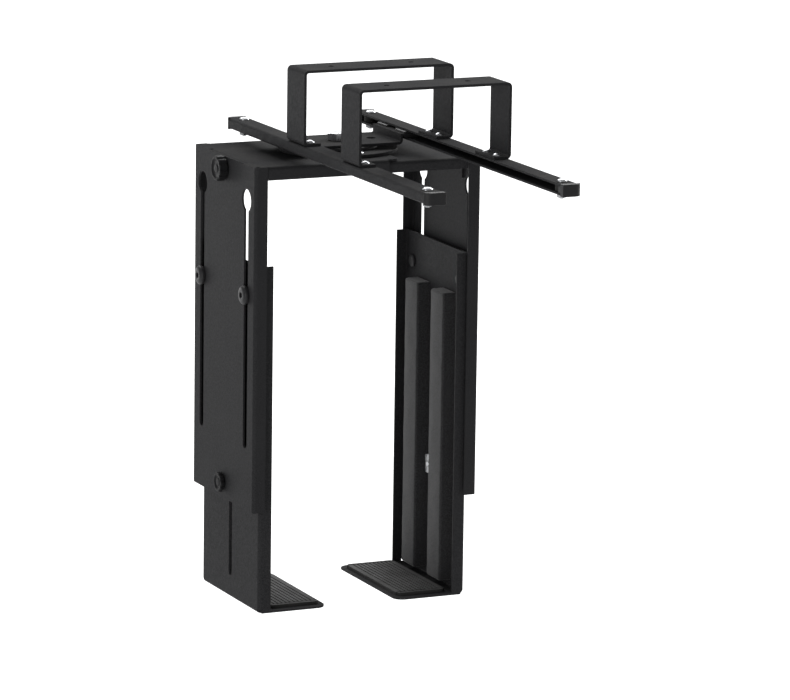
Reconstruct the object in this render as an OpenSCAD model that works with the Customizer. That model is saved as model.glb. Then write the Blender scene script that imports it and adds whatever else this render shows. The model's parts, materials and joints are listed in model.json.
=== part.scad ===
// Under-desk computer holder: two rails on bridge brackets, a sliding carriage, a swivel and
// two telescoping side brackets. Millimetres. X right, Y to the back of the desk, Z up.
// The origin is the middle of the faces that bolt to the desk.

/* [Track] */
// Outside width over the two rails
track_w = 150; // [140:1:170]
// Length of each steel rail
rail_len = 442; // [430:1:520]
// Width of a rail's section
rail_w = 18; // [16:0.5:22]
// Height of a rail's section
rail_h = 10; // [9.5:0.5:13]
// Sheet thickness of the rails
rail_t = 1.8; // [1.5:0.1:2]
// Depth of the rails' top face below the desk
track_drop = 70; // [60:1:90]
// Distance of each bridge bracket from the middle of the track
bridge_y = 62; // [50:1:120]
// Width of a bridge bracket along the track
bridge_w = 40; // [30:1:60]
// Distance of each desk screw from the centre line
desk_hole_x = 40; // [20:1:48]
// Radius of each desk screw hole
desk_hole_r = 2.75; // [2:0.05:3.5]
// Distance of the carriage from the middle of the track, as stowed
carriage_y = 136; // [0:1:150]
// Length of the carriage along the track
carriage_len = 64; // [50:1:80]

/* [Side brackets] */
// Distance between the outer faces of the two side channels
holder_w = 228; // [222:1:240]
// Width of a side channel along the track
channel_w = 148; // [136:1:160]
// Depth of a side channel's flanges, with the sheet
channel_d = 12.5; // [12:0.5:16]
// Height of a side channel
channel_h = 324; // [300:1:340]
// Sheet thickness of the arms, channels and lower brackets
sheet_t = 2; // [1.5:0.1:2.2]
// Distance of each height slot from the middle of its channel
slot_y = 53; // [50:1:55]
// Width of a height slot
slot_w = 9; // [8.6:0.1:10]
// Height of the thumbscrew above the channel's bottom edge
thumb_up = 15; // [13:1:30]

/* [Lower brackets] */
// Height of a lower bracket
lower_h = 328; // [310:1:340]
// Depth of a lower bracket's bottom below the desk, as set
lower_drop = 512; // [490:1:540]
// How far the foot reaches inwards from the web
foot_len = 70; // [50:1:75]
// Gap between the webs of a channel and its lower bracket
web_gap = 6.5; // [4:0.5:7]
// Thickness of the foam strips
foam_t = 13; // [12:0.5:16]
// Width of a foam strip
foam_w = 30; // [15:1:30]

/* [Fasteners] */
// Radius of a height stud's head
stud_head_r = 9; // [7:0.5:9.5]
// Radius of the round knob
knob_r = 12; // [10:0.5:14]
// Thickness of the round knob
knob_len = 9.5; // [5:0.5:12]
// Radius of the thumbscrew's head
thumb_r = 9.5; // [8:0.5:12]
// Thickness of the thumbscrew's head
thumb_len = 5.5; // [4.5:0.5:10]

/* [Hidden] */
$fn = 64;

left = -1;
right = 1;
front = -1;
rear = 1;
eps = 0.01;
reach = 500;             // length of a cut that passes right through
gap = 0.3;               // running gap between bodies
fit = 0.05;              // clearance of a shaft in its bore
hole_gap = 0.4;          // clearance of a bolt in a punched hole

charcoal = [0.16, 0.16, 0.17];
black = [0.07, 0.07, 0.075];
zinc = [0.62, 0.63, 0.65];
nylon = [0.12, 0.12, 0.13];
foam = [0.09, 0.09, 0.095];

// Track
track_x = track_w / 2;
rail_top = -track_drop;
rail_bot = rail_top - rail_h;
rail_in_x = track_x - rail_w;
rail_end = rail_len / 2;
bridge_t = 2.5;
stop_x = track_x - 10;
stop_y = rail_end - 14;
bumper_r = 6;
stop_r = 2.5;
cap_len = 6;

// Carriage and swivel, from the rails down
flange_t = 2.5;
flange_z = rail_bot + rail_h / 2 - flange_t / 2;
panel_bot = rail_bot - 4;
panel_top = panel_bot + flange_t;
panel_x = rail_in_x - 4.5;
glide_len = 22;
glide_in_x = rail_in_x - 3;
race_r = 37;
race_bot = panel_bot - 3;
swivel_top = race_bot - gap;
swivel_t = 3;
swivel_bot = swivel_top - swivel_t;
swivel_r = 56;
pivot_r = 6;
bush_r = 9;
hex_r = 10.4;
washer_r = 12;
clamp_y = 45;
clamp_r = 3;

// Arms: the left one lies on top of the right one
arm_in = 34;             // travel inwards
arm_out = 16;            // travel outwards
left_arm_top = swivel_bot - gap;
right_arm_top = left_arm_top - sheet_t - gap;
arm_bot = right_arm_top - 10;
arm_end = 33;            // how far an arm reaches past the pivot
arm_flange_end = 20;     // how far its flanges reach past the pivot
stack_bot = right_arm_top - sheet_t;
tab_y = 40;
tab_bot = left_arm_top - 27;
bend_r = 3.5;

// Side channels
out_x = holder_w / 2;
web_x = out_x - sheet_t;
lip_x = out_x - channel_d;
half_w = channel_w / 2;
inner_w = half_w - sheet_t - gap;
chan_top = left_arm_top;
chan_bot = chan_top - channel_h;
knob_z = chan_top - 11.2;
thumb_z = chan_bot + thumb_up;
key_z = chan_top - 33;
key_r = stud_head_r + 1.5;
slot_bot = chan_bot + 58;
screw_r = 3;

// Lower brackets
low_out_x = web_x - web_gap;
low_in_x = low_out_x - sheet_t;
low_lip_x = low_out_x - channel_d;
low_half_w = half_w - sheet_t - 3;
low_bot = -lower_drop;
low_top = low_bot + lower_h;
stud_r = 4;
stud_z = low_top - 28;
low_slot_w = 7.2;
low_slot_bot = low_bot + 25;
low_slot_top = low_bot + 265;
pad_t = 3;

// ---- helpers ----

// Rod along X from x0 to x1
module rod_x(r, x0, x1, y, z) {
    translate([x0, y, z])
        rotate([0, 90, 0])
            cylinder(r = r, h = x1 - x0);
}

// Rod along Z from z0 to z1
module rod_z(r, z0, z1, x, y) {
    translate([x, y, z0])
        cylinder(r = r, h = z1 - z0);
}

// Hexagonal prism along Z
module hex_z(r, z0, z1, x, y) {
    translate([x, y, z0])
        cylinder(r = r, h = z1 - z0, $fn = 6);
}

// Box between two corners
module block(a, b) {
    translate(a)
        cube(b - a);
}

// Rectangle with four round corners
module round_rect(x0, x1, y0, y1, r) {
    translate([x0 + r, y0])
        square([x1 - x0 - 2 * r, y1 - y0]);
    translate([x0, y0 + r])
        square([x1 - x0, y1 - y0 - 2 * r]);
    for (x = [x0 + r, x1 - r])
        for (y = [y0 + r, y1 - r])
            translate([x, y])
                circle(r = r);
}

// Rectangle with the two corners at x1 rounded
module nose_rect(x0, x1, y0, y1, r) {
    translate([x0, y0])
        square([x1 - x0 - r, y1 - y0]);
    translate([x0, y0 + r])
        square([x1 - x0, y1 - y0 - 2 * r]);
    for (y = [y0 + r, y1 - r])
        translate([x1 - r, y])
            circle(r = r);
}

// Section of a bent sheet channel that opens towards -X
module channel_section(x0, x1, half, t, r) {
    difference() {
        nose_rect(x0, x1, -half, half, r);
        nose_rect(x0 - 1, x1 - t, t - half, half - t, r - t);
    }
}

// Slot through a sheet that faces X, with round ends at z0 and z1
module slot_x(w, x0, x1, y, z0, z1) {
    block([x0, y - w / 2, z0], [x1, y + w / 2, z1]);
    for (z = [z0, z1])
        rod_x(w / 2, x0, x1, y, z);
}

// Slot through a sheet that faces Z, with round ends at x0 and x1
module slot_z(w, x0, x1, y, z0, z1) {
    block([x0, y - w / 2, z0], [x1, y + w / 2, z1]);
    for (x = [x0, x1])
        rod_z(w / 2, z0, z1, x, y);
}

// Shallow dome along Z that starts at z0, and points up or down
module dome_z(r, h, z0, x, y, up) {
    ball_r = (r * r + h * h) / (2 * h);
    translate([x, y, z0])
        mirror([0, 0, up > 0 ? 0 : 1])
            intersection() {
                cylinder(r = r, h = h);
                translate([0, 0, h - ball_r])
                    sphere(r = ball_r, $fn = 96);
            }
}

// Shallow dome along +X that starts at x0
module dome_x(r, h, x0, y, z) {
    translate([x0, y, z])
        rotate([0, 90, 0])
            dome_z(r, h, 0, 0, 0, 1);
}

// The right-hand shape as it is, or mirrored to the left
module on(side) {
    mirror([side > 0 ? 0 : 1, 0, 0])
        children();
}

// Moves a shape from the swivel's axis to where the carriage is stowed
module at_carriage() {
    translate([0, carriage_y, 0])
        children();
}

// ---- track ----

module rail(side) {
    color(charcoal)
        on(side)
            difference() {
                translate([0, rail_end, 0])
                    rotate([90, 0, 0])
                        linear_extrude(rail_len)
                            difference() {
                                nose_rect(rail_in_x, track_x, rail_bot, rail_top, 2.2);
                                nose_rect(rail_in_x - 1, track_x - rail_t,
                                          rail_bot + rail_t, rail_top - rail_t, 0.4);
                            }
                for (end = [front, rear])
                    rod_z(stop_r + 0.1, rail_bot - 1, rail_top + 1, stop_x, end * stop_y);
                for (bridge = [front, rear])
                    for (dy = [-1, 1])
                        rod_z(2.1, rail_top - rail_t - 1, rail_top + 1, stop_x,
                              bridge * bridge_y + dy * (bridge_w / 2 - 9));
            }
}

module bridge(end) {
    foot_x = rail_in_x + 1;
    foot_top = rail_top + bridge_t;
    color(charcoal)
        translate([0, end * bridge_y, 0])
            difference() {
                translate([0, bridge_w / 2, 0])
                    rotate([90, 0, 0])
                        linear_extrude(bridge_w)
                            difference() {
                                round_rect(-track_x, track_x, rail_top, 0, 4.5);
                                round_rect(bridge_t - track_x, track_x - bridge_t,
                                           foot_top, -bridge_t, 2);
                                translate([-foot_x, rail_top - 1])
                                    square([2 * foot_x, bridge_t + 2]);
                            }
                for (x = [-desk_hole_x, desk_hole_x])
                    rod_z(desk_hole_r, -bridge_t - 1, 1, x, 0);
                for (x = [-stop_x, stop_x])
                    for (dy = [-1, 1])
                        rod_z(2.1, rail_top - 1, foot_top + 1, x, dy * (bridge_w / 2 - 9));
            }
}

module bridge_rivets() {
    color(zinc)
        for (x = [-stop_x, stop_x])
            for (bridge = [front, rear])
                for (dy = [-1, 1])
                    translate([x, bridge * bridge_y + dy * (bridge_w / 2 - 9), 0]) {
                        rod_z(2, rail_top - rail_t, rail_top + bridge_t + eps, 0, 0);
                        dome_z(4, 2.2, rail_top + bridge_t, 0, 0, 1);
                    }
}

module stop_bolts(end) {
    color(zinc)
        for (x = [-stop_x, stop_x]) {
            rod_z(stop_r, rail_bot - 5, rail_top + eps, x, end * stop_y);
            dome_z(4.6, 2.6, rail_top, x, end * stop_y, 1);
            hex_z(4.7, rail_bot - 4, rail_bot, x, end * stop_y);
        }
}

module stop_bumpers(end) {
    color(black)
        for (x = [-stop_x, stop_x])
            difference() {
                rod_z(bumper_r, rail_bot + rail_t + 0.1, rail_top - rail_t - 0.1,
                      x, end * stop_y);
                rod_z(stop_r + 0.05, rail_bot, rail_top, x, end * stop_y);
            }
}

module end_cap(side, end) {
    skin = 0.6;
    corner = 7;
    color(black)
        on(side)
            mirror([0, end > 0 ? 0 : 1, 0]) {
                translate([0, 0, rail_bot - skin])
                    linear_extrude(rail_h + 2 * skin)
                        difference() {
                            translate([rail_in_x - skin, rail_end + 0.05])
                                square([rail_w + 2 * skin, cap_len]);
                            translate([track_x + skin - corner, rail_end + cap_len - corner])
                                difference() {
                                    square(corner + 1);
                                    circle(r = corner + 0.05);
                                }
                        }
                block([rail_in_x + 0.2, rail_end - 6, rail_bot + rail_t + 0.1],
                      [track_x - rail_t - 0.2, rail_end + 0.1, rail_top - rail_t - 0.1]);
            }
}

// ---- carriage ----

module carriage() {
    reach_x = track_x - rail_t - 3.2;
    half_len = carriage_len / 2;
    color(charcoal)
        at_carriage()
            difference() {
                union() {
                    translate([0, half_len, 0])
                        rotate([90, 0, 0])
                            linear_extrude(carriage_len)
                                difference() {
                                    round_rect(-panel_x, panel_x, panel_bot, panel_bot + 24, 4);
                                    round_rect(flange_t - panel_x, panel_x - flange_t,
                                               panel_top, panel_bot + 30, 1.5);
                                    translate([-reach, flange_z + flange_t])
                                        square([2 * reach, reach]);
                                }
                    for (side = [left, right])
                        on(side)
                            block([panel_x - flange_t, -half_len, flange_z],
                                  [reach_x, half_len, flange_z + flange_t]);
                }
                rod_z(pivot_r + 0.1, panel_bot - 1, panel_top + 1, 0, 0);
                for (x = [-34, 34])
                    rod_z(4.5, panel_bot - 1, panel_top + 1, x, 0);
            }
}

module glide(side, end) {
    nose = 1.2;
    y0 = carriage_len / 2 - glide_len;
    y1 = carriage_len / 2 - 1;
    top = rail_top - rail_t - gap;
    bot = rail_bot + rail_t + gap;
    outer = track_x - rail_t - gap;
    color(nylon)
        at_carriage()
            on(side)
                mirror([0, end > 0 ? 0 : 1, 0])
                    difference() {
                        translate([0, y1, 0])
                            rotate([90, 0, 0])
                                linear_extrude(y1 - y0)
                                    round_rect(glide_in_x, outer, bot, top, nose);
                        block([0, y0 - 1, flange_z], [outer - 2.9, y1 + 1, flange_z + flange_t]);
                    }
}

module bearing_race() {
    color(nylon)
        at_carriage()
            difference() {
                rod_z(race_r, race_bot, panel_bot, 0, 0);
                rod_z(washer_r + 0.4, race_bot - 1, panel_bot + 1, 0, 0);
                difference() {
                    rod_z(race_r - 8, race_bot - 1, race_bot + 0.8, 0, 0);
                    rod_z(race_r - 14, race_bot - 2, race_bot + 2, 0, 0);
                }
            }
}

module pivot_bolt() {
    color(zinc)
        at_carriage() {
            rod_z(pivot_r, left_arm_top - 10, panel_top + 1, 0, 0);
            intersection() {
                hex_z(hex_r, panel_top, panel_top + 7.5, 0, 0);
                translate([0, 0, panel_top - 3.5])
                    sphere(r = 13, $fn = 96);
            }
        }
}

module pivot_washer() {
    color(zinc)
        at_carriage()
            difference() {
                rod_z(washer_r, left_arm_top - 2, left_arm_top, 0, 0);
                rod_z(pivot_r + 0.1, left_arm_top - 3, left_arm_top + 1, 0, 0);
            }
}

module pivot_nut() {
    color(zinc)
        at_carriage()
            difference() {
                hex_z(hex_r, left_arm_top - 8.5, left_arm_top - 2, 0, 0);
                rod_z(pivot_r + fit, left_arm_top - 10, left_arm_top, 0, 0);
            }
}

// ---- swivel ----

module swivel_plate() {
    color(charcoal)
        at_carriage()
            difference() {
                rod_z(swivel_r, swivel_bot, swivel_top, 0, 0);
                rod_z(bush_r, swivel_bot - 1, swivel_top + 1, 0, 0);
                for (y = [-clamp_y, clamp_y])
                    rod_z(clamp_r + 0.1, swivel_bot - 1, swivel_top + 1, 0, y);
            }
}

module pivot_bush() {
    color(nylon)
        at_carriage()
            difference() {
                union() {
                    rod_z(bush_r, swivel_bot, swivel_top + eps, 0, 0);
                    rod_z(bush_r + 2, swivel_top, swivel_top + 1.5, 0, 0);
                }
                rod_z(pivot_r + fit, swivel_bot - 1, swivel_top + 3, 0, 0);
            }
}

module clamp_bolts() {
    color(zinc)
        at_carriage()
            for (y = [-clamp_y, clamp_y]) {
                rod_z(clamp_r, stack_bot - 9, swivel_top + eps, 0, y);
                dome_z(6, 1.8, swivel_top, 0, y, 1);
            }
}

module clamp_washers() {
    color(zinc)
        at_carriage()
            for (y = [-clamp_y, clamp_y])
                difference() {
                    rod_z(8, stack_bot - gap - 1.6, stack_bot - gap, 0, y);
                    rod_z(clamp_r + 0.1, stack_bot - 5, stack_bot + 1, 0, y);
                }
}

module clamp_nuts() {
    color(zinc)
        at_carriage()
            for (y = [-clamp_y, clamp_y])
                difference() {
                    hex_z(5.8, stack_bot - gap - 6.8, stack_bot - gap - 1.6, 0, y);
                    rod_z(clamp_r + fit, stack_bot - 12, stack_bot, 0, y);
                }
}

// ---- arms and side channels ----

// Flat sheet with a down-turned end tab and two down-turned flanges
module arm(side, top, half) {
    bot = top - sheet_t;
    near_half = inner_w;
    color(charcoal)
        at_carriage()
            on(side)
                difference() {
                    union() {
                        // flanged stretch
                        translate([-arm_flange_end, 0, 0])
                            rotate([90, 0, 90])
                                linear_extrude(lip_x - gap + arm_flange_end)
                                    rotate(90)
                                        translate([top, 0])
                                            channel_section(arm_bot - top, 0, half, sheet_t, bend_r);
                        // inner end
                        translate([0, 0, bot])
                            linear_extrude(sheet_t)
                                mirror([1, 0])
                                    nose_rect(arm_flange_end - 2, arm_end, 5 - half, half - 5, 8);
                        // outer end, between the channel's flanges
                        block([lip_x - 2, -near_half, bot], [web_x - bend_r, near_half, top]);
                        // edges beside the tab, up to the channel's web
                        for (end = [front, rear])
                            mirror([0, end > 0 ? 0 : 1, 0])
                                block([web_x - bend_r - 1, tab_y + 2, bot],
                                      [web_x - fit, near_half - 3, top]);
                        // tab
                        translate([0, tab_y, 0])
                            rotate([90, 0, 0])
                                linear_extrude(2 * tab_y)
                                    difference() {
                                        round_rect(web_x - 30, web_x, tab_bot - 30, top, bend_r);
                                        round_rect(web_x - 40, web_x - sheet_t,
                                                   tab_bot - 40, bot, bend_r - sheet_t);
                                        translate([web_x - 50, tab_bot - 50])
                                            square([100, 50]);
                                        translate([web_x - 50, tab_bot - 1])
                                            square([50 - bend_r, bot - tab_bot + 1]);
                                    }
                    }
                    // slots for the clamp bolts and the pivot nut
                    for (y = [-clamp_y, clamp_y])
                        slot_z(2 * (clamp_r + hole_gap), -arm_out, arm_in, y, bot - 1, top + 1);
                    slot_z(2 * (washer_r + 0.5), -arm_out, arm_in, 0, bot - 1, top + 1);
                    rod_x(screw_r + hole_gap, web_x - 5, web_x + 1, 0, knob_z);
                }
}

module channel(side) {
    color(charcoal)
        at_carriage()
            on(side)
                difference() {
                    translate([0, 0, chan_bot])
                        linear_extrude(channel_h)
                            channel_section(lip_x, out_x, half_w, sheet_t, bend_r);
                    for (y = [-slot_y, slot_y]) {
                        slot_x(slot_w, web_x - 1, out_x + 1, y, slot_bot + slot_w / 2, key_z);
                        rod_x(key_r, web_x - 1, out_x + 1, y, key_z);
                    }
                    for (z = [knob_z, thumb_z])
                        rod_x(screw_r + hole_gap, web_x - 1, out_x + 1, 0, z);
                }
}

// Screw along +X whose low round head has a collar, flutes round its rim and a dished face
module grip_screw(r, len, flutes, tip_x, z) {
    base = out_x + gap;
    collar = 1.2;
    flute_r = 1.6;
    difference() {
        union() {
            rod_x(r - 2.2, base, base + collar + eps, 0, z);
            rod_x(r, base + collar, base + len - 1, 0, z);
            dome_x(r, 1, base + len - 1 - eps, 0, z);
        }
        rod_x(r - 4, base + len - 1, base + len + 1, 0, z);
        for (turn = [0 : 360 / flutes : 359])
            rod_x(flute_r, base + collar - 0.5, base + len + 1,
                  (r + 0.6) * cos(turn), z + (r + 0.6) * sin(turn));
    }
    rod_x(screw_r, tip_x, base + 1, 0, z);
}

module knob(side) {
    color(black)
        at_carriage()
            on(side)
                grip_screw(knob_r, knob_len, 12, web_x - sheet_t - 8, knob_z);
}

module knob_nut(side) {
    color(zinc)
        at_carriage()
            on(side)
                difference() {
                    translate([web_x - sheet_t - 6, 0, knob_z])
                        rotate([0, 90, 0])
                            rotate(30)
                                cylinder(r = 5.8, h = 6, $fn = 6);
                    rod_x(screw_r + fit, web_x - 20, web_x, 0, knob_z);
                }
}

module thumbscrew(side) {
    color(black)
        at_carriage()
            on(side)
                grip_screw(thumb_r, thumb_len, 10, low_in_x - 6.5, thumb_z);
}

module thumb_nut(side) {
    color(zinc)
        at_carriage()
            on(side)
                difference() {
                    translate([low_in_x - gap - 5, 0, thumb_z])
                        rotate([90, 0, 90])
                            linear_extrude(5)
                                round_rect(-7, 7, -9, 9, 2);
                    rod_x(screw_r + fit, low_in_x - 20, low_in_x, 0, thumb_z);
                }
}

module thumb_spacer(side) {
    color(nylon)
        at_carriage()
            on(side)
                difference() {
                    rod_x(7, low_out_x + gap, web_x, 0, thumb_z);
                    rod_x(screw_r + hole_gap, low_out_x - 1, web_x + 1, 0, thumb_z);
                }
}

// ---- lower brackets ----

module lower_bracket(side) {
    foot_x = low_out_x - foot_len;
    foot_top = low_bot + sheet_t;
    color(charcoal)
        at_carriage()
            on(side)
                difference() {
                    union() {
                        translate([0, 0, low_bot + bend_r])
                            linear_extrude(lower_h - bend_r)
                                channel_section(low_lip_x, low_out_x, low_half_w, sheet_t, bend_r);
                        // bend from the web into the foot
                        translate([0, low_half_w - bend_r, 0])
                            rotate([90, 0, 0])
                                linear_extrude(2 * (low_half_w - bend_r))
                                    difference() {
                                        nose_rect(low_lip_x, low_out_x,
                                                  low_bot, low_bot + 3 * bend_r, bend_r);
                                        nose_rect(low_lip_x - 1, low_in_x,
                                                  foot_top, low_bot + 4 * bend_r,
                                                  bend_r - sheet_t);
                                        translate([low_lip_x - 1, low_bot + bend_r])
                                            square([channel_d + 2, 3 * bend_r]);
                                    }
                        // flanges down to the foot
                        for (y = [-1, 1])
                            block([low_lip_x, y > 0 ? low_half_w - sheet_t : -low_half_w, low_bot],
                                  [low_out_x - bend_r, y > 0 ? low_half_w : sheet_t - low_half_w,
                                   low_bot + bend_r + eps]);
                        translate([0, 0, low_bot])
                            linear_extrude(sheet_t)
                                mirror([1, 0])
                                    nose_rect(-low_out_x + bend_r, -foot_x,
                                              -low_half_w, low_half_w, 10);
                    }
                    slot_x(low_slot_w, low_in_x - 1, low_out_x + 1, 0, low_slot_bot, low_slot_top);
                    for (y = [-slot_y, slot_y])
                        rod_x(stud_r + 0.1, low_in_x - 1, low_out_x + 1, y, stud_z);
                }
}

// Studs with low domed heads, each with a hexagon socket
module studs(side) {
    head = out_x + gap;
    color(black)
        at_carriage()
            on(side)
                for (y = [-slot_y, slot_y])
                    difference() {
                        union() {
                            rod_x(stud_r, low_in_x - 2, head + 1, y, stud_z);
                            rod_x(stud_r + 2, low_in_x - 2.5, low_in_x, y, stud_z);
                            rod_x(stud_head_r, head, head + 2.5, y, stud_z);
                            dome_x(stud_head_r, 2.5, head + 2.5 - eps, y, stud_z);
                        }
                        translate([head + 2, y, stud_z])
                            rotate([0, 90, 0])
                                cylinder(r = 2.9, h = 5, $fn = 6);
                    }
}

module stud_spacers(side) {
    color(nylon)
        at_carriage()
            on(side)
                for (y = [-slot_y, slot_y])
                    difference() {
                        rod_x(8.5, low_out_x, web_x - gap, y, stud_z);
                        rod_x(stud_r + 0.1, low_out_x - 1, web_x + 1, y, stud_z);
                    }
}

module foam_strip(side, end) {
    y0 = 14;
    color(foam)
        at_carriage()
            on(side)
                mirror([0, end > 0 ? 0 : 1, 0])
                    block([low_in_x - foam_t, y0, low_bot + 8],
                          [low_in_x, y0 + foam_w, stud_z - 14]);
}

module foot_pad(side) {
    foot_x = low_out_x - foot_len;
    color(foam)
        at_carriage()
            on(side)
                translate([0, 0, low_bot + sheet_t])
                    linear_extrude(pad_t)
                        round_rect(foot_x + 5, low_in_x - foam_t - 0.5,
                                   8 - low_half_w, low_half_w - 8, 5);
}

rail(left);  // left_rail
rail(right);  // right_rail
bridge(front);  // front_bridge
bridge(rear);  // rear_bridge
bridge_rivets();
stop_bolts(front);  // front_stop_bolts
stop_bolts(rear);  // rear_stop_bolts
stop_bumpers(front);  // front_stop_bumpers
stop_bumpers(rear);  // rear_stop_bumpers
end_cap(left, front);  // left_front_end_cap
end_cap(left, rear);  // left_rear_end_cap
end_cap(right, front);  // right_front_end_cap
end_cap(right, rear);  // right_rear_end_cap
carriage();
glide(left, front);  // left_front_glide
glide(left, rear);  // left_rear_glide
glide(right, front);  // right_front_glide
glide(right, rear);  // right_rear_glide
bearing_race();
pivot_bolt();
pivot_washer();
pivot_nut();
swivel_plate();
pivot_bush();
clamp_bolts();
clamp_washers();
clamp_nuts();
arm(left, left_arm_top, half_w);  // left_arm
channel(left);  // left_channel
knob(left);  // left_knob
knob_nut(left);  // left_knob_nut
thumbscrew(left);  // left_thumbscrew
thumb_nut(left);  // left_thumb_nut
thumb_spacer(left);  // left_thumb_spacer
arm(right, right_arm_top, inner_w);  // right_arm
channel(right);  // right_channel
knob(right);  // right_knob
knob_nut(right);  // right_knob_nut
thumbscrew(right);  // right_thumbscrew
thumb_nut(right);  // right_thumb_nut
thumb_spacer(right);  // right_thumb_spacer
lower_bracket(left);  // left_lower_bracket
studs(left);  // left_studs
stud_spacers(left);  // left_stud_spacers
foam_strip(left, front);  // left_front_foam
foam_strip(left, rear);  // left_rear_foam
foot_pad(left);  // left_foot_pad
lower_bracket(right);  // right_lower_bracket
studs(right);  // right_studs
stud_spacers(right);  // right_stud_spacers
foam_strip(right, front);  // right_front_foam
foam_strip(right, rear);  // right_rear_foam
foot_pad(right);  // right_foot_pad
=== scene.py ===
"""The looks of the under-desk computer holder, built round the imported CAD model. Metres."""

import json
import math

import bmesh
import bpy
from mathutils import Matrix, Vector, noise


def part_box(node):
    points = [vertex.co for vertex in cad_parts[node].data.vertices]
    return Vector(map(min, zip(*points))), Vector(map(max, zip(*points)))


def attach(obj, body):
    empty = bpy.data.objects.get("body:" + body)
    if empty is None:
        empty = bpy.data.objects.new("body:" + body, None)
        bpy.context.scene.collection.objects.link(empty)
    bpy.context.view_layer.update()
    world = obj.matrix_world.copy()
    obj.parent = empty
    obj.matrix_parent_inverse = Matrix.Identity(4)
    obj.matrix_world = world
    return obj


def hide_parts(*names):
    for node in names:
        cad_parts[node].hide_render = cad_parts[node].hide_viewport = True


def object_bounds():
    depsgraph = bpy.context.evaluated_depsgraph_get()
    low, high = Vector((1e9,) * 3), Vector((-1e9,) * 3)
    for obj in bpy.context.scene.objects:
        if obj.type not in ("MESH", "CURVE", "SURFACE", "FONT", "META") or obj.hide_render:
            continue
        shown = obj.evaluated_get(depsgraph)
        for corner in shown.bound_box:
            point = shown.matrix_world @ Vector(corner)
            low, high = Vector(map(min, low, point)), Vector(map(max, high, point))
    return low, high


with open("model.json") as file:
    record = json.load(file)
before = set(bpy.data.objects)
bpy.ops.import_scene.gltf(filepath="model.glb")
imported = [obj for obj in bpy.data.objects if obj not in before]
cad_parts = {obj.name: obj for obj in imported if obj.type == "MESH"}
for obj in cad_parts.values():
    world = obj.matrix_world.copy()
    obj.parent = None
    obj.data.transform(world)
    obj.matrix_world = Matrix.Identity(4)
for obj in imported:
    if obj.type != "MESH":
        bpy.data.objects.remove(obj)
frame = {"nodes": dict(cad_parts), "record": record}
CAD_LOW, CAD_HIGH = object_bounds()
NODES = frame["nodes"]
BODY_OF = {n: b for b, ns in frame["record"]["behaviour"]["bodies"].items() for n in ns}
SLOT_OF = {s["node"]: s["material_slot"] for s in frame["record"]["subparts"]}
MM = 0.001
SIDES = {"left": -1, "right": 1}
ENDS = {"front": -1, "rear": 1}

# ---------------------------------------------------------------- camera

CAMERA_PLACE = Vector((-1.924, -4.237, 0.689))  # as far off as the photographer stood
CAMERA_LENS = 236
CAMERA_ROLL = math.radians(0.8)


def make_camera():
    """A long lens aimed at the middle of the object, rolled as the photograph leans."""
    data = bpy.data.cameras.new("camera")
    data.lens = CAMERA_LENS
    data.clip_start, data.clip_end = 0.05, 100
    camera = bpy.data.objects.new("camera", data)
    bpy.context.scene.collection.objects.link(camera)
    aim = (CAD_LOW + CAD_HIGH) / 2
    turn = (aim - CAMERA_PLACE).to_track_quat("-Z", "Y")
    camera.rotation_mode = "QUATERNION"
    camera.rotation_quaternion = turn @ Matrix.Rotation(CAMERA_ROLL, 3, "Z").to_quaternion()
    camera.location = CAMERA_PLACE
    bpy.context.scene.camera = camera


make_camera()

# ---------------------------------------------------------------- materials


class Graph:
    """A material's node tree, with short calls for the nodes used here."""

    def __init__(self, name):
        self.material = bpy.data.materials.new(name)
        self.material.use_nodes = True
        self.tree = self.material.node_tree
        self.shader = self.tree.nodes["Principled BSDF"]
        self.place = self.tree.nodes.new("ShaderNodeTexCoord").outputs["Object"]

    def add(self, kind, **values):
        """A new node, with values for its sockets and settings."""
        made = self.tree.nodes.new(kind)
        for key, value in values.items():
            if key in made.inputs:
                made.inputs[key].default_value = value
            else:
                setattr(made, key, value)
        return made

    def link(self, source, target):
        self.tree.links.new(source, target)

    def noise(self, scale, detail=3.0, roughness=0.55, stretch=(1, 1, 1)):
        """Noise of one value, with scale in waves per metre."""
        mapping = self.add("ShaderNodeMapping", Scale=stretch)
        self.link(self.place, mapping.inputs["Vector"])
        made = self.add("ShaderNodeTexNoise", Scale=scale, Detail=detail, Roughness=roughness)
        self.link(mapping.outputs["Vector"], made.inputs["Vector"])
        return made.outputs["Fac"]

    def cells(self, scale):
        """Distance to the middles of scattered cells, with scale in cells per metre."""
        made = self.add("ShaderNodeTexVoronoi", Scale=scale)
        self.link(self.place, made.inputs["Vector"])
        return made.outputs["Distance"]

    def ramp(self, source, low, high, from_low=0.0, from_high=1.0):
        """source from from_low..from_high, mapped to the numbers low..high."""
        limits = {"From Min": from_low, "From Max": from_high, "To Min": low, "To Max": high}
        made = self.add("ShaderNodeMapRange", clamp=True, **limits)
        self.link(source, made.inputs["Value"])
        return made.outputs["Result"]

    def mix(self, share, first, second):
        """A colour between two, where share is a link and the colours are tuples or links."""
        made = self.add("ShaderNodeMix", data_type="RGBA")
        self.link(share, made.inputs["Factor"])
        for socket, value in ((made.inputs[6], first), (made.inputs[7], second)):
            if isinstance(value, tuple):
                socket.default_value = (*value, 1)
            else:
                self.link(value, socket)
        return made.outputs[2]

    def bump(self, height, strength, distance, under=None):
        """A normal for a relief, on top of the relief under it if there is one."""
        made = self.add("ShaderNodeBump", Strength=strength, Distance=distance)
        self.link(height, made.inputs["Height"])
        if under is not None:
            self.link(under, made.inputs["Normal"])
        return made.outputs["Normal"]

    def finish(self, colour=None, roughness=None, normal=None, **constants):
        """The finished material, with links and constants on its shader's sockets."""
        for key, value in constants.items():
            self.shader.inputs[key.replace("_", " ")].default_value = value
        for source, key in ((colour, "Base Color"), (roughness, "Roughness"), (normal, "Normal")):
            if source is not None:
                self.link(source, self.shader.inputs[key])
        return self.material


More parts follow.
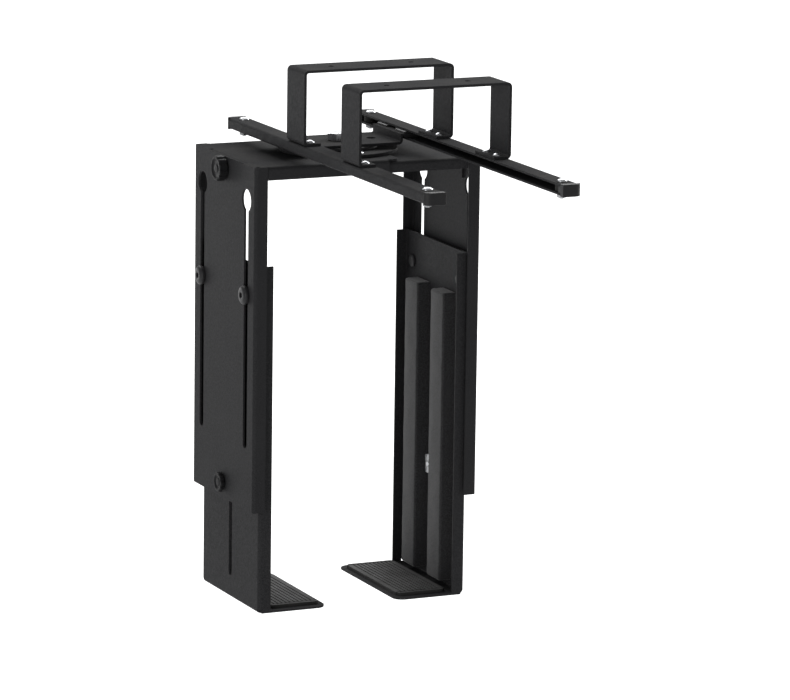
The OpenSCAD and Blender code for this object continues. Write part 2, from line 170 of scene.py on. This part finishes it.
def powder_coat():
    """Fine-textured matt black powder coat on steel, with a little dust where it faces up."""
    g = Graph("powder_coat")
    cloud = g.noise(14, 4)
    grain = g.noise(1500, 2)
    peel = g.noise(420, 3)
    tone = g.mix(g.ramp(cloud, 0, 1, 0.3, 0.7), (0.020, 0.020, 0.0212), (0.026, 0.026, 0.0272))
    speck = g.mix(g.ramp(grain, 0, 1, 0.42, 0.62), tone, (0.038, 0.038, 0.040))
    up = g.add("ShaderNodeSeparateXYZ")
    g.link(g.add("ShaderNodeNewGeometry").outputs["Normal"], up.inputs["Vector"])
    dust = g.add("ShaderNodeMath", operation="MULTIPLY")
    g.link(g.ramp(up.outputs["Z"], 0, 0.5, 0.6, 1.0), dust.inputs[0])
    g.link(g.ramp(g.noise(38, 5), 0, 1, 0.42, 0.72), dust.inputs[1])
    speck = g.mix(dust.outputs[0], speck, (0.052, 0.050, 0.047))
    shine = g.add("ShaderNodeMath", operation="MULTIPLY_ADD")
    g.link(g.ramp(up.outputs["Z"], 0, 1, 0.6, 1.0), shine.inputs[0])
    shine.inputs[1].default_value = 0.3
    g.link(g.ramp(peel, 0.54, 0.70, 0.3, 0.7), shine.inputs[2])
    relief = g.bump(peel, 0.35, 0.25 * MM)
    relief = g.bump(grain, 0.30, 0.08 * MM, relief)
    return g.finish(speck, shine.outputs[0], relief, Specular_IOR_Level=0.06)


def zinc():
    """Bright zinc plate, a little uneven."""
    g = Graph("zinc_plate")
    cloud = g.noise(160, 4)
    scratch = g.noise(900, 2, stretch=(1, 1, 0.12))
    tone = g.mix(g.ramp(cloud, 0, 1, 0.3, 0.7), (0.50, 0.51, 0.53), (0.62, 0.63, 0.64))
    return g.finish(tone, g.ramp(scratch, 0.24, 0.42, 0.3, 0.7),
                    g.bump(scratch, 0.15, 0.03 * MM), Metallic=1.0)


def black_steel():
    """Smooth semi-gloss black on small steel parts."""
    g = Graph("black_steel")
    cloud = g.noise(300, 3)
    tone = g.mix(g.ramp(cloud, 0, 1, 0.3, 0.7), (0.016, 0.016, 0.017), (0.028, 0.028, 0.030))
    return g.finish(tone, g.ramp(cloud, 0.38, 0.50, 0.3, 0.7), g.bump(cloud, 0.1, 0.05 * MM),
                    Specular_IOR_Level=0.25)


def moulded(name, dark, light, shine_low, shine_high, grain_scale=1100, specular=0.3):
    """Moulded plastic with a fine spark-eroded grain."""
    g = Graph(name)
    cloud = g.noise(60, 3)
    grain = g.noise(grain_scale, 2)
    tone = g.mix(g.ramp(cloud, 0, 1, 0.3, 0.7), dark, light)
    return g.finish(tone, g.ramp(grain, shine_low, shine_high, 0.35, 0.65),
                    g.bump(grain, 0.25, 0.06 * MM), Specular_IOR_Level=specular)


def rubber():
    """Matt black rubber with a dusty bloom."""
    g = Graph("rubber")
    bloom = g.noise(45, 5)
    grain = g.noise(1400, 2)
    tone = g.mix(g.ramp(bloom, 0, 1, 0.35, 0.75), (0.016, 0.016, 0.016), (0.032, 0.031, 0.030))
    return g.finish(tone, g.ramp(bloom, 0.72, 0.9, 0.3, 0.7), g.bump(grain, 0.3, 0.08 * MM))


def foam():
    """Closed-cell foam: fine cells, painted shade in the dips between them and a soft sheen."""
    g = Graph("foam")
    pore = g.cells(950)
    soft = g.noise(60, 4)
    tone = g.mix(g.ramp(soft, 0, 1, 0.3, 0.7), (0.026, 0.026, 0.028), (0.040, 0.040, 0.043))
    # painted shade: the colour darkens towards each cell's border, where the relief below dips
    tone = g.mix(g.ramp(pore, 0, 1, 0.28, 0.62), tone, (0.012, 0.012, 0.013))
    relief = g.bump(g.ramp(pore, 1, 0, 0.1, 0.7), 0.35, 0.2 * MM)
    return g.finish(tone, g.ramp(soft, 0.86, 0.96, 0.3, 0.7), relief, Sheen_Weight=0.25,
                    Sheen_Roughness=0.5)


MATERIALS = {
    "coated_steel": powder_coat(),
    "zinc_hardware": zinc(),
    "black_hardware": black_steel(),
    "nylon": moulded("nylon", (0.020, 0.020, 0.021), (0.030, 0.030, 0.031), 0.38, 0.5),
    "cap_plastic": moulded("cap_plastic", (0.014, 0.014, 0.015), (0.021, 0.021, 0.022), 0.42, 0.58),
    "knob_plastic": moulded("knob_plastic", (0.010, 0.010, 0.011), (0.016, 0.016, 0.017),
                            0.46, 0.60, 800, 0.12),
    "rubber": rubber(),
    "foam": foam(),
}

# ---------------------------------------------------------------- meshes


def finish_mesh(name, bm, degrees=32):
    """The bmesh as an object: smooth, but crisp where it turns by more than the angle."""
    bmesh.ops.recalc_face_normals(bm, faces=bm.faces)
    limit = math.radians(degrees)
    for face in bm.faces:
        face.smooth = True
    for edge in bm.edges:
        edge.smooth = len(edge.link_faces) == 2 and edge.calc_face_angle(0) < limit
    data = bpy.data.meshes.new(name)
    bm.to_mesh(data)
    bm.free()
    piece = bpy.data.objects.new(name, data)
    bpy.context.scene.collection.objects.link(piece)
    level = piece.modifiers.new("even_normals", "WEIGHTED_NORMAL")
    level.keep_sharp = True
    return piece


def dress(piece, node, slot=None):
    """The piece rides where the node does, stands for it, and takes its material."""
    slot = slot or SLOT_OF[node]
    piece.data.materials.clear()
    piece.data.materials.append(MATERIALS[slot])
    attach(piece, BODY_OF[node])
    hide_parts(node)
    return piece


def skin(bm, rings, closed=False):
    """Faces between rings of points. An open skin is capped at both ends."""
    rows = [[bm.verts.new(p) for p in ring] for ring in rings]
    pairs = list(zip(rows, rows[1:])) + ([(rows[-1], rows[0])] if closed else [])
    for lower, upper in pairs:
        for i in range(len(lower)):
            j = (i + 1) % len(lower)
            bm.faces.new((lower[i], lower[j], upper[j], upper[i]))
    if not closed:
        bm.faces.new(reversed(rows[0]))
        bm.faces.new(rows[-1])


def axis_frame(place, direction):
    """Turns local Z to the direction, at the place."""
    turn = Vector((0, 0, 1)).rotation_difference(Vector(direction)).to_matrix().to_4x4()
    return Matrix.Translation(place) @ turn


def turned(bm, stations, frame_at, steps=48, closed=False):
    """A turned solid. A station is (height, radius), and its radius may depend on the angle."""
    rings = []
    for height, radius in stations:
        ring = []
        for i in range(steps):
            angle = math.tau * i / steps
            r = radius(angle) if callable(radius) else radius
            ring.append(frame_at @ Vector((r * math.cos(angle), r * math.sin(angle), height)))
        rings.append(ring)
    skin(bm, rings, closed)


def hexagon(flat, limit=1.0):
    """Radius of a hexagon with corners at angle 0, and at most the limit."""
    return lambda a: min(flat / math.cos(a % (math.pi / 3) - math.pi / 6), limit)


def rounded(h0, r0, h1, r1, steps=5):
    """Stations along a quarter of an ellipse that leaves (h0, r0) along the axis."""
    made = []
    for i in range(steps + 1):
        t = math.pi / 2 * i / steps
        made.append((h0 + (h1 - h0) * math.sin(t), r1 + (r0 - r1) * math.cos(t)))
    return made


def thread(bm, radius, h0, h1, pitch, frame_at):
    """A threaded rod from h0 to its chamfered tip at h1."""
    depth = 0.55 * pitch
    count = int(round(abs(h1 - h0) / pitch * 6))
    way = 1 if h1 > h0 else -1

    def at(height):
        tip = radius - depth - 0.1 * MM + abs(h1 - height)
        return lambda a: min(radius - depth * abs(2 * ((height / pitch - a / math.tau) % 1) - 1), tip)

    heights = [h0 + way * i * pitch / 6 for i in range(count)] + [h1]
    turned(bm, [(h, at(h)) for h in heights], frame_at, 30)


def hex_nut(bm, flat, bore, h0, h1, frame_at):
    """A hexagonal nut between two heights, chamfered at both ends and countersunk at its bore."""
    corner = flat / math.cos(math.pi / 6)
    drop = corner - 0.96 * flat
    rise = drop * 0.5
    sink = 0.4 * MM
    ease = [(rise * t, hexagon(flat, 0.96 * flat + drop * t)) for t in (0.0, 0.25, 0.5, 0.75, 1.0)]
    stations = [(h0 + sink, bore), (h0, bore + sink)]
    stations += [(h0 + h, r) for h, r in ease]
    stations += [(h1 - h, r) for h, r in reversed(ease)]
    stations += [(h1, bore + sink), (h1 - sink, bore)]
    turned(bm, stations, frame_at, 72, closed=True)


# ---------------------------------------------------------------- formed and moulded pieces


def eased(node, radius, segments=2, sharp=30):
    """A copy of a CAD solid whose sharp edges are rounded off."""
    bm = bmesh.new()
    bm.from_mesh(NODES[node].data)
    bmesh.ops.remove_doubles(bm, verts=bm.verts, dist=1e-6)
    bmesh.ops.dissolve_limit(bm, angle_limit=math.radians(0.4), verts=bm.verts, edges=bm.edges,
                             delimit=set())
    limit = math.radians(sharp)
    edges = [e for e in bm.edges if len(e.link_faces) == 2 and e.calc_face_angle() > limit]
    bmesh.ops.bevel(bm, geom=edges, offset=radius, offset_type="OFFSET", segments=segments,
                    profile=0.5, affect="EDGES", clamp_overlap=True, harden_normals=False)
    return dress(finish_mesh(node + "_finished", bm), node)


# how far the edges of each slot's CAD solids are rounded off, and in how many steps
EASED = {
    "coated_steel": (0.4 * MM, 2),
    "cap_plastic": (1.1 * MM, 4),
    "nylon": (0.35 * MM, 2),
    "rubber": (0.4 * MM, 2),
    "zinc_hardware": (0.2 * MM, 2),
}
# last words of the nodes that get a mesh of their own further down, except for the thumb nuts
OWN_MESH = ("bolt", "bolts", "nut", "nuts", "knob", "thumbscrew", "studs", "foam", "pad")
for node, slot in SLOT_OF.items():
    if node.split("_")[-1] not in OWN_MESH or node.endswith("thumb_nut"):
        eased(node, *EASED[slot])

# ---------------------------------------------------------------- bolts and nuts

SCREW_FIT = 0.05 * MM  # a nut's bore is wider by this, or narrower if it is locked on its bolt
PIVOT_R = 6 * MM
PIVOT_HEAD = 7.5 * MM
CLAMP_R, CLAMP_HEAD_R = 3 * MM, 6 * MM
CLAMP_NUT_FLAT = 5.02 * MM  # half of the width across flats
STOP_R, STOP_HEAD_R = 2.5 * MM, 4.6 * MM
STOP_NUT_FLAT, STOP_NUT_CORNER = 4.07 * MM, 4.7 * MM
STOP_NUT_HIGH = 4 * MM


def upright(node):
    """A frame at height 0 on the middle of a node."""
    low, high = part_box(node)
    return Matrix.Translation(((low.x + high.x) / 2, (low.y + high.y) / 2, 0))


def pivot_fasteners():
    """The swivel's bolt, with its chamfered hexagon head and threaded end, and its nut."""
    low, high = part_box("pivot_bolt")
    flat = (high.y - low.y) / 2
    corner = flat / math.cos(math.pi / 6)
    neck = high.z - PIVOT_HEAD
    thread_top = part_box("pivot_washer")[0].z
    at = upright("pivot_bolt")
    bm = bmesh.new()
    head = [(neck, 0.96 * flat), (neck + 0.3 * MM, 0.97 * flat), (neck + 0.31 * MM, hexagon(flat))]
    for t in (1.0, 0.75, 0.5, 0.25, 0.0):
        cap = 0.95 * flat + (corner - 0.95 * flat) * t
        head.append((high.z - 0.25 * MM - 1.1 * MM * t, hexagon(flat, cap)))
    head += [(high.z - 0.05 * MM, 0.88 * flat), (high.z, 0.82 * flat), (high.z, 0.3 * flat)]
    turned(bm, [(thread_top, PIVOT_R), (neck, PIVOT_R)] + head, at, 72)
    thread(bm, PIVOT_R, thread_top, low.z, 1.5 * MM, at)
    dress(finish_mesh("pivot_bolt_finished", bm), "pivot_bolt")

    low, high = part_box("pivot_nut")
    bm = bmesh.new()
    hex_nut(bm, (high.y - low.y) / 2, PIVOT_R + SCREW_FIT, low.z, high.z, upright("pivot_nut"))
    dress(finish_mesh("pivot_nut_finished", bm), "pivot_nut")


def round_head_bolt(bm, radius, head_r, tip, neck, top, pitch, at):
    """A bolt with a low domed head, threaded for two thirds of its length."""
    start = neck + (tip - neck) * 0.33
    dome = [(neck, head_r - 0.3 * MM), (neck + 0.3 * MM, head_r)]
    dome += rounded(neck + 0.5 * MM, head_r, top, 0.2 * head_r, 8)
    turned(bm, [(start, radius), (neck, radius)] + dome, at)
    thread(bm, radius, start, tip, pitch, at)


def clamp_fasteners():
    """The two round-headed bolts that clamp the arms, and their nuts."""
    low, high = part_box("clamp_bolts")
    nut_low, nut_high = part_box("clamp_nuts")
    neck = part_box("swivel_plate")[1].z
    middle_x, middle_y = (low.x + high.x) / 2, (low.y + high.y) / 2
    apart = (high.y - low.y) / 2 - CLAMP_HEAD_R
    bolts, nuts = bmesh.new(), bmesh.new()
    for end in (-1, 1):
        at = Matrix.Translation((middle_x, middle_y + end * apart, 0))
        round_head_bolt(bolts, CLAMP_R, CLAMP_HEAD_R, low.z, neck, high.z, 1 * MM, at)
        hex_nut(nuts, CLAMP_NUT_FLAT, CLAMP_R + SCREW_FIT, nut_low.z, nut_high.z, at)
    dress(finish_mesh("clamp_bolts_finished", bolts), "clamp_bolts")
    dress(finish_mesh("clamp_nuts_finished", nuts), "clamp_nuts")


def stop_fasteners(end):
    """The two stop bolts of one end of the track, with their nuts below the rails."""
    node = f"{end}_stop_bolts"
    low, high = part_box(node)
    rail_bottom, neck = (corner.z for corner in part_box("left_rail"))
    bm = bmesh.new()
    for side in (-1, 1):
        x = side * (high.x - STOP_NUT_CORNER)
        at = Matrix.Translation((x, (low.y + high.y) / 2, 0))
        round_head_bolt(bm, STOP_R, STOP_HEAD_R, low.z, neck, high.z, 0.8 * MM, at)
        hex_nut(bm, STOP_NUT_FLAT, STOP_R - SCREW_FIT, rail_bottom - STOP_NUT_HIGH, rail_bottom, at)
    dress(finish_mesh(node + "_finished", bm), node)


pivot_fasteners()
clamp_fasteners()
for end in ENDS:
    stop_fasteners(end)

# ---------------------------------------------------------------- knobs, thumbscrews and studs

HEAD_GAP = 0.3 * MM  # between a channel's face and the heads on it
GRIP_SCREW_R = 3 * MM
FLUTE_DEEP = 1.0 * MM
STUD_R, STUD_FOOT_R = 4 * MM, 6 * MM
STUD_SOCKET = 2.51 * MM  # half of the width across flats
SHEET = 2 * MM  # the lower bracket's thickness, which the studs are swaged through


def sideways(side, node, x):
    """A frame whose Z points out of the side, at a node's middle and the given distance out."""
    low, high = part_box(node)
    s = SIDES[side]
    return axis_frame((s * x, (low.y + high.y) / 2, (low.z + high.z) / 2), (s, 0, 0))


def outer_x(node):
    """How far out a node reaches, whichever side it is on."""
    low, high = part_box(node)
    return max(abs(low.x), abs(high.x))


def inner_x(node):
    """How far out a node begins."""
    low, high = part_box(node)
    return min(abs(low.x), abs(high.x))


def grip_screw(side, node, flutes):
    """A low moulded head with a fluted rim and a dished face, on a threaded zinc screw."""
    low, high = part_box(node)
    radius = (high.z - low.z) / 2
    base = outer_x(f"{side}_channel") + HEAD_GAP
    thick = outer_x(node) - base
    collar = 1.2 * MM
    at = sideways(side, node, base)

    def rim(inset, share):
        """The rim's radius, with the flutes at a share of their depth."""
        def at_angle(a):
            wave = (0.5 + 0.5 * math.cos(flutes * a)) ** 2.2
            return radius - inset - share * FLUTE_DEEP * wave
        return at_angle

    # the collar, and the fluted rim
    edge = 1.3 * MM
    stations = [(0, radius - 2.5 * MM), (0.2 * MM, radius - 2.3 * MM), (collar, radius - 2.3 * MM),
                (collar, rim(0.5 * MM, 1)), (collar + 0.15 * MM, rim(0.12 * MM, 1)),
                (collar + 0.45 * MM, rim(0, 1)), (thick - edge, rim(0, 1))]
    # the rim's round outer edge, where the flutes fade out
    for i in range(1, 7):
        t = math.pi / 2 * i / 6
        stations.append((thick - edge * (1 - math.sin(t)), rim(edge * (1 - math.cos(t)), math.cos(t))))
    # the dished face, and the low boss in its middle
    lip = radius - edge - FLUTE_DEEP
    stations += [(thick, lip), (thick - 0.1 * MM, lip - 0.35 * MM)]
    stations += [(thick - 0.95 * MM, lip - 1.15 * MM), (thick - 1.15 * MM, lip - 1.5 * MM)]
    stations += [(thick - 1.2 * MM, 4.1 * MM), (thick - 0.75 * MM, 3.9 * MM),
                 (thick - 0.62 * MM, 3.5 * MM), (thick - 0.55 * MM, 2.0 * MM),
                 (thick - 0.53 * MM, 0.8 * MM)]
    bm = bmesh.new()
    turned(bm, stations, at, flutes * 14)
    dress(finish_mesh(node + "_grip", bm, 40), node)

    bm = bmesh.new()
    thread(bm, GRIP_SCREW_R, 0.1 * MM, inner_x(node) - base, 1 * MM, at)
    dress(finish_mesh(node + "_screw", bm), node, "zinc_hardware")


def knob_nut(side):
    """The hexagonal nut behind a knob."""
    node = f"{side}_knob_nut"
    low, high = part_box(node)
    bm = bmesh.new()
    at = axis_frame((0, (low.y + high.y) / 2, (low.z + high.z) / 2), (1, 0, 0))
    at = at @ Matrix.Rotation(math.radians(90), 4, "Z")
    flat = min(high.y - low.y, high.z - low.z) / 2
    hex_nut(bm, flat, GRIP_SCREW_R + SCREW_FIT, low.x, high.x, at)
    dress(finish_mesh(node + "_finished", bm), node)


def studs(side):
    """Two round-headed studs with hexagon sockets, swaged over behind the lower bracket."""
    node = f"{side}_studs"
    low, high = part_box(node)
    head_r = (high.z - low.z) / 2
    back = inner_x(node)
    base = outer_x(f"{side}_channel") + HEAD_GAP
    web_in = inner_x(f"{side}_stud_spacers") - SHEET
    face = outer_x(node)
    profile = [(back, STUD_R), (back + 0.4 * MM, STUD_FOOT_R - 0.6 * MM),
               (back + 1.0 * MM, STUD_FOOT_R), (web_in, STUD_FOOT_R), (web_in, STUD_R), (base, STUD_R),
               (base, head_r - 0.4 * MM), (base + 0.25 * MM, head_r - 0.08 * MM),
               (base + 0.5 * MM, head_r), (base + 1.9 * MM, head_r)]
    profile += rounded(base + 1.9 * MM, head_r, face, 4.4 * MM, 8)[1:]
    socket = hexagon(STUD_SOCKET)
    profile += [(face, 3.3 * MM), (face - 0.35 * MM, socket), (face - 2.6 * MM, socket),
                (face - 2.9 * MM, 1.6 * MM)]
    bm = bmesh.new()
    s = SIDES[side]
    for end in (-1, 1):
        y = (low.y + high.y) / 2 + end * ((high.y - low.y) / 2 - head_r)
        turned(bm, profile, axis_frame((0, y, (low.z + high.z) / 2), (s, 0, 0)), 72)
    dress(finish_mesh(node + "_finished", bm, 38), node)


for side in SIDES:
    grip_screw(side, f"{side}_knob", 12)
    grip_screw(side, f"{side}_thumbscrew", 10)
    knob_nut(side)
    studs(side)

# ---------------------------------------------------------------- foam and rubber

FOAM_ROUND = 2.4 * MM
FOAM_ROWS = 90


def foam_outline(half, deep):
    """Points (depth, y) round a strip's section, with its two outer edges rounded."""
    outline = [(0.0, -half), (deep * 0.5, -half + 0.35 * MM)]
    for i in range(7):
        a = math.pi / 2 * i / 6
        outline.append((deep - FOAM_ROUND * (1 - math.sin(a)), -half + FOAM_ROUND * (1 - math.cos(a))))
    edge = outline[:]
    outline += [(deep, (half - FOAM_ROUND) * i / 10) for i in range(-9, 10)]
    return outline + [(d, -y) for d, y in reversed(edge)]


def foam_strip(side, end):
    """A strip cut from closed-cell foam: its skin pulls in at the edges and is not quite even."""
    node = f"{side}_{end}_foam"
    low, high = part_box(node)
    width, thick = high.y - low.y, high.x - low.x
    back = outer_x(node)
    bm = bmesh.new()
    rings = []
    for k in range(-5, FOAM_ROWS + 6):
        t = min(max(k, 0), FOAM_ROWS) / FOAM_ROWS
        z = low.z + FOAM_ROUND + (high.z - low.z - 2 * FOAM_ROUND) * t
        past = (abs(k) if k < 0 else max(k - FOAM_ROWS, 0)) / 5 * math.pi / 2
        z += (-1 if k < 0 else 1) * FOAM_ROUND * math.sin(past)
        inset = FOAM_ROUND * (1 - math.cos(past))
        ring = []
        for d, y in foam_outline(width / 2 - inset, thick - inset):
            share = d / thick
            edge_in = 0.5 * MM * min(abs(y) / (width / 2), 1) ** 2 if share > 0.9 else 0
            uneven = noise.noise(Vector((y * 60, z * 60, 3.1))) - 0.6
            wave = 0.25 * MM * uneven * share
            ring.append((SIDES[side] * (back - (d - edge_in + min(wave, 0))), (low.y + high.y) / 2 + y, z))
        rings.append(ring)
    skin(bm, rings)
    piece = dress(finish_mesh(node + "_strip", bm, 50), node)


PAD_CORNER, PAD_BORDER, PAD_EASE = 5 * MM, 3.5 * MM, 0.5 * MM
RIB_PITCH, GROOVE_WIDE, GROOVE_DEEP = 4.2 * MM, 1.3 * MM, 0.8 * MM


def ribbed_profile(low, high):
    """Points (x, z) over the pad's top from one bottom edge to the other, with its grooves."""
    room = high.x - low.x - 2 * PAD_BORDER
    count = int(room / RIB_PITCH)
    spare = (room - count * RIB_PITCH + RIB_PITCH - GROOVE_WIDE) / 2
    lip = 0.15 * MM
    points = [(low.x, low.z), (low.x, high.z - PAD_EASE), (low.x + lip, high.z - lip),
              (low.x + PAD_EASE, high.z)]
    for i in range(count):
        near = low.x + PAD_BORDER + spare + i * RIB_PITCH
        far = near + GROOVE_WIDE
        points += [(near - lip, high.z), (near, high.z - lip), (near + 0.1 * MM, high.z - GROOVE_DEEP),
                   (far - 0.1 * MM, high.z - GROOVE_DEEP), (far, high.z - lip), (far + lip, high.z)]
    points += [(high.x - PAD_EASE, high.z), (high.x - lip, high.z - lip),
               (high.x, high.z - PAD_EASE), (high.x, low.z)]
    return points


def pad_rows(low, high):
    """Rows (y, how far its ends are set in, whether it is grooved) across the pad."""
    rows = []
    for i in range(9):
        a = math.pi / 2 * i / 8
        rows.append((low.y + PAD_CORNER * (1 - math.cos(a)), PAD_CORNER * (1 - math.sin(a)), False))
    rows += [(low.y + PAD_BORDER, 0, False), (low.y + PAD_BORDER + 0.3 * MM, 0, True)]
    return rows + [(low.y + high.y - y, inset, grooved) for y, inset, grooved in reversed(rows)]


def foot_pad(side):
    """A ribbed rubber pad with rounded corners and a plain border."""
    node = f"{side}_foot_pad"
    low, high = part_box(node)
    bm = bmesh.new()
    rings = []
    for y, inset, grooved in pad_rows(low, high):
        top = high.z - (PAD_EASE if y in (low.y, high.y) else 0)
        ring = []
        for x, z in ribbed_profile(low, high):
            in_border = not low.x + PAD_BORDER <= x <= high.x - PAD_BORDER
            height = z if grooved or in_border else high.z
            ring.append((min(max(x, low.x + inset), high.x - inset), y, min(height, top)))
        rings.append(ring)
    skin(bm, rings)
    bmesh.ops.remove_doubles(bm, verts=bm.verts, dist=2e-6)
    bmesh.ops.dissolve_degenerate(bm, dist=1e-6, edges=bm.edges)
    piece = dress(finish_mesh(node + "_ribbed", bm), node)


for side in SIDES:
    foot_pad(side)
    for end in ENDS:
        foam_strip(side, end)

# ---------------------------------------------------------------- room

FLOOR_DROP = 0.35  # the floor's depth below the object
SKY = 0.33  # brightness of the even white surround

# name, place, size across and along, power in watts
LAMPS = (
    ("rear_overhead", (1.2, 4.6, 3.2), (5.0, 5.0), 420),
    ("key", (-0.85, 2.9, -0.32), (0.6, 0.6), 6.5),
    ("front_fill", (-2.9, -1.6, 0.2), (2.0, 2.0), 27),
    ("right_fill", (3.0, 1.4, 0.9), (2.0, 2.0), 110),
)


def make_floor():
    """A plain pale floor, well below the object."""
    bm = bmesh.new()
    bmesh.ops.create_grid(bm, x_segments=1, y_segments=1, size=30)
    data = bpy.data.meshes.new("floor")
    bm.to_mesh(data)
    bm.free()
    floor = bpy.data.objects.new("floor", data)
    bpy.context.scene.collection.objects.link(floor)
    floor.location.z = CAD_LOW.z - FLOOR_DROP
    g = Graph("floor_paint")
    tone = g.mix(g.ramp(g.noise(3, 4), 0, 1, 0.3, 0.7), (0.80, 0.80, 0.80), (0.83, 0.83, 0.83))
    floor.data.materials.append(g.finish(tone, Roughness=0.8))


def make_sky():
    """An even white surround."""
    world = bpy.data.worlds.new("studio")
    bpy.context.scene.world = world
    world.use_nodes = True
    background = world.node_tree.nodes["Background"]
    background.inputs["Color"].default_value = (1, 1, 1, 1)
    background.inputs["Strength"].default_value = SKY


def make_lamp(name, place, size, power):
    """A soft studio light, aimed at the object, or straight down if it hangs overhead."""
    data = bpy.data.lights.new(name, "AREA")
    data.shape, data.energy = "RECTANGLE", power
    data.size, data.size_y = size
    lamp = bpy.data.objects.new(name, data)
    bpy.context.scene.collection.objects.link(lamp)
    lamp.location = place
    target = Vector((place[0], place[1], -1)) if "overhead" in name else (CAD_LOW + CAD_HIGH) / 2
    lamp.rotation_mode = "QUATERNION"
    lamp.rotation_quaternion = (target - lamp.location).to_track_quat("-Z", "Y")


make_floor()
make_sky()
for lamp in LAMPS:
    make_lamp(*lamp)
bpy.context.scene.view_settings.view_transform = "Standard"
